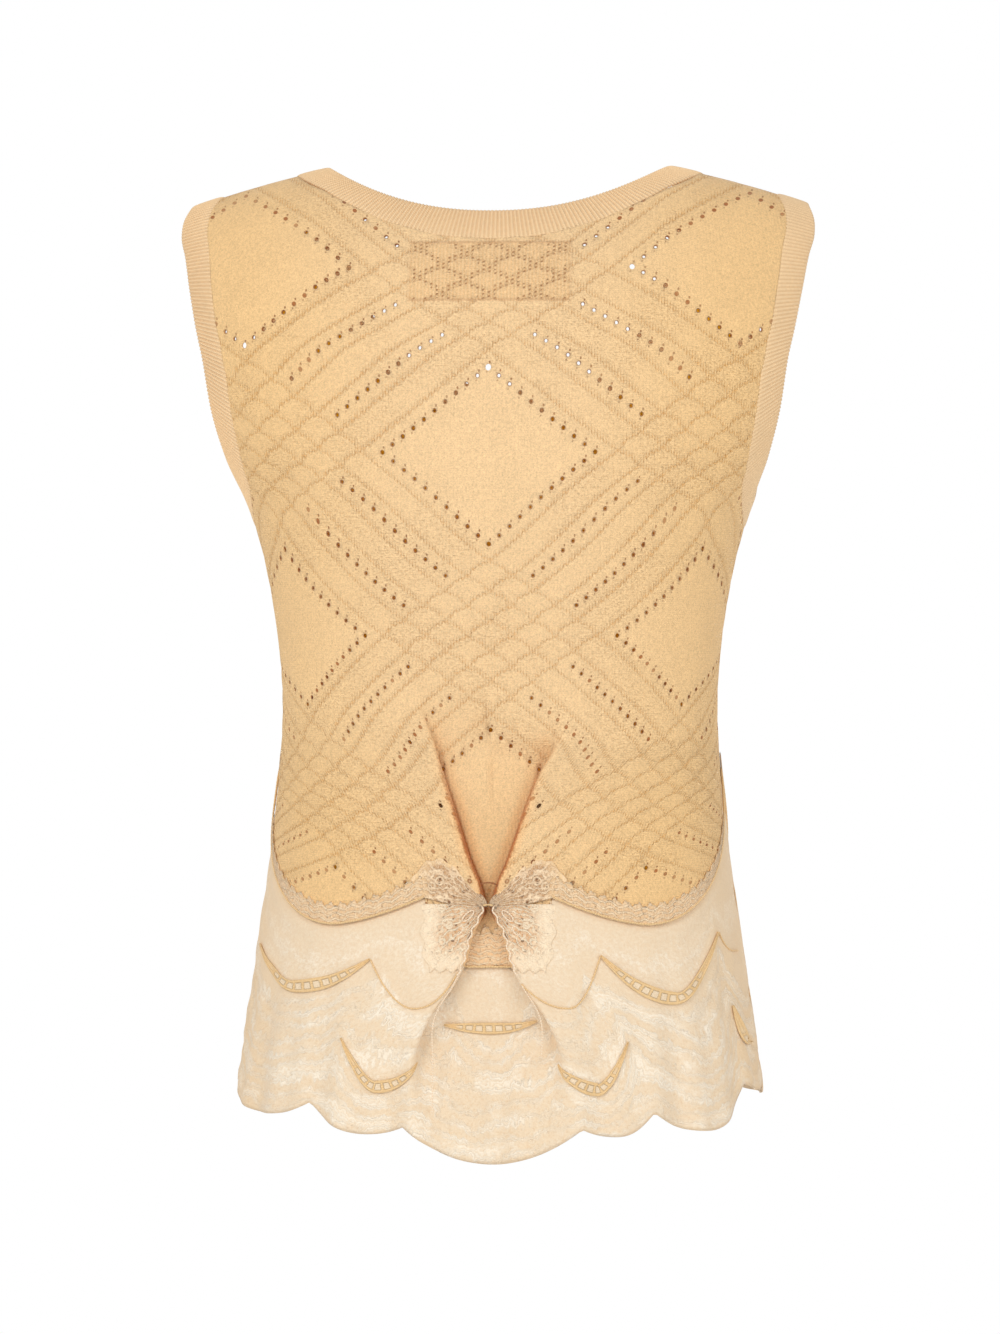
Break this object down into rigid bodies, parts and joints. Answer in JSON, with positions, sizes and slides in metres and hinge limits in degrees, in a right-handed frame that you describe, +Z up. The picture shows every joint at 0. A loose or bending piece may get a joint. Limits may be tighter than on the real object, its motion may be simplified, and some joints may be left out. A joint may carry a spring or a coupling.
{
  "type": "sleeveless knit top",
  "caption": "Hollow sleeveless fine-knit top as worn, with eyelet diamond back, pinched centre-back pleat, rib bands and scalloped lace hem",
  "frame": {"origin": "midway between the high points of the two shoulders, where the wearer's shoulders carry the top", "axes": "+Z up along the standing wearer, +Y towards the wearer's front, +X towards the wearer's right; the pinched back faces -Y"},
  "size_m": [0.379, 0.2372, 0.5893],
  "materials": {
    "knit_back": "matte fine knit",
    "knit_front": "matte fine knit",
    "rib_neck": "matte rib knit",
    "rib_arm": "matte rib knit",
    "lace": "matte lace",
    "trim": "matte lace",
    "wing": "matte lace",
    "label": "satin tape"
  },
  "bodies": {
    "root": {"back_panel": "knit_back", "front_panel": "knit_front", "neckband": "rib_neck", "armhole_band_left": "rib_arm", "armhole_band_right": "rib_arm", "lace_back": "lace", "lace_front": "lace", "hem_trim_left": "trim", "hem_trim_right": "trim", "hem_trim_petal": "trim", "hem_trim_front": "trim", "wing_upper_left": "wing", "wing_upper_right": "wing", "wing_lower_left": "wing", "wing_lower_right": "wing", "neck_label": "label"}
  },
  "joints": []
}
